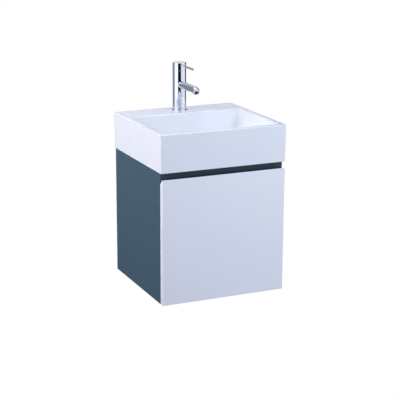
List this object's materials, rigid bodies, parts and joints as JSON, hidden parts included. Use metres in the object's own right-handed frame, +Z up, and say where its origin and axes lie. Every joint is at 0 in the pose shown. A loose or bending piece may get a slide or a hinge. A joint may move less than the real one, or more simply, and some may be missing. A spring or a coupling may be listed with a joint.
{
  "type": "wall-hung vanity unit",
  "caption": "Wall-hung vanity: ceramic basin with single-lever tap on a slate cabinet with one full-height gloss white pull-out drawer round a bottle trap.",
  "frame": {"origin": "centre of the wall plates' screw pattern, on the wall plane", "axes": "+X to the right as seen from the front, +Y into the wall, +Z up"},
  "size_m": [0.46, 0.469, 0.753],
  "materials": {
    "white_ceramic": "glossy white glaze",
    "slate_board": "satin slate-blue laminate on board",
    "gloss_front": "high-gloss white lacquer on board",
    "drawer_board": "light grey melamine on board",
    "chrome": "polished chrome plate",
    "brass": "machined brass",
    "zinc_steel": "bright zinc plate",
    "black_rubber": "matt rubber",
    "white_plastic": "moulded white plastic",
    "grey_plastic": "moulded dark grey plastic",
    "clear_bumper": "soft translucent bumper",
    "beech": "fluted beech"
  },
  "bodies": {
    "root": {"back_bottom_rail": "slate_board", "back_top_rail": "slate_board", "basin": "white_ceramic", "bottom_panel": "slate_board", "cabinet_runner_screws": "zinc_steel", "cam_bolts": "zinc_steel", "cam_locks": "zinc_steel", "dowels": "beech", "front_bumpers": "clear_bumper", "front_rail": "slate_board", "hanger_hooks": "zinc_steel", "hanger_housings": "white_plastic", "hanger_screws": "zinc_steel", "runner_cabinet_members": "zinc_steel", "side_panel_left": "slate_board", "side_panel_right": "slate_board", "tap_aerator_insert": "grey_plastic", "tap_aerator_ring": "chrome", "tap_base_ring": "chrome", "tap_base_seal": "black_rubber", "tap_body": "chrome", "tap_cartridge": "white_plastic", "tap_cartridge_nut": "brass", "tap_clamp_nut": "brass", "tap_clamp_rubber": "black_rubber", "tap_clamp_washer": "zinc_steel", "tap_spout": "chrome", "tap_stud": "zinc_steel", "trap_body": "chrome", "trap_cup": "chrome", "trap_inlet_tube": "chrome", "trap_nuts": "chrome", "trap_outlet_tube": "chrome", "trap_seals": "black_rubber", "wall_escutcheon": "chrome", "wall_plates": "zinc_steel", "waste_back_nut": "brass", "waste_body": "chrome", "waste_washer": "black_rubber"},
    "drawer": {"drawer_front": "gloss_front", "drawer_box_front": "drawer_board", "drawer_side_left": "drawer_board", "drawer_side_right": "drawer_board", "drawer_bottom": "drawer_board", "drawer_backs": "drawer_board", "trap_well_sides": "drawer_board", "trap_well_front": "drawer_board", "drawer_screws": "zinc_steel", "runner_drawer_members": "zinc_steel"},
    "middle_member_left": {"runner_middle_left": "zinc_steel"},
    "middle_member_right": {"runner_middle_right": "zinc_steel"},
    "outer_cage_left": {"outer_ball_cage_left": "zinc_steel"},
    "outer_cage_right": {"outer_ball_cage_right": "zinc_steel"},
    "inner_cage_left": {"inner_ball_cage_left": "zinc_steel"},
    "inner_cage_right": {"inner_ball_cage_right": "zinc_steel"},
    "mixer_turret": {"mixer_turret": "grey_plastic"},
    "mixer_lever": {"mixer_rocker": "brass", "mixer_cap": "chrome", "mixer_lever": "chrome"},
    "waste_plug": {"waste_plug": "chrome"}
  },
  "joints": [
    {"name": "drawer_travel", "type": "slide", "parent": "root", "child": "drawer", "axis": [0, -1, 0], "range_m": [0, 0.35]},
    {"name": "middle_member_left_travel", "type": "slide", "parent": "root", "child": "middle_member_left", "axis": [0, -1, 0], "range_m": [0, 0.175]},
    {"name": "outer_cage_left_travel", "type": "slide", "parent": "root", "child": "outer_cage_left", "axis": [0, -1, 0], "range_m": [0, 0.0875]},
    {"name": "inner_cage_left_travel", "type": "slide", "parent": "root", "child": "inner_cage_left", "axis": [0, -1, 0], "range_m": [0, 0.2625]},
    {"name": "middle_member_right_travel", "type": "slide", "parent": "root", "child": "middle_member_right", "axis": [0, -1, 0], "range_m": [0, 0.175]},
    {"name": "outer_cage_right_travel", "type": "slide", "parent": "root", "child": "outer_cage_right", "axis": [0, -1, 0], "range_m": [0, 0.0875]},
    {"name": "inner_cage_right_travel", "type": "slide", "parent": "root", "child": "inner_cage_right", "axis": [0, -1, 0], "range_m": [0, 0.2625]},
    {"name": "mixer_turn", "type": "hinge", "parent": "root", "child": "mixer_turret", "pos_m": [0, -0.049, 0.417], "axis": [0, 0, 1], "range_deg": [-50, 50]},
    {"name": "mixer_lift", "type": "hinge", "parent": "mixer_turret", "child": "mixer_lever", "pos_m": [0, -0.041, 0.414], "axis": [-1, 0, 0], "range_deg": [0, 20]},
    {"name": "plug_rise", "type": "slide", "parent": "root", "child": "waste_plug", "axis": [0, 0, 1], "range_m": [0, 0.008]}
  ],
  "couplings": [
    {"joint": "middle_member_left_travel", "follows": "drawer_travel", "ratio": 0.5},
    {"joint": "outer_cage_left_travel", "follows": "drawer_travel", "ratio": 0.25},
    {"joint": "inner_cage_left_travel", "follows": "drawer_travel", "ratio": 0.75},
    {"joint": "middle_member_right_travel", "follows": "drawer_travel", "ratio": 0.5},
    {"joint": "outer_cage_right_travel", "follows": "drawer_travel", "ratio": 0.25},
    {"joint": "inner_cage_right_travel", "follows": "drawer_travel", "ratio": 0.75}
  ]
}
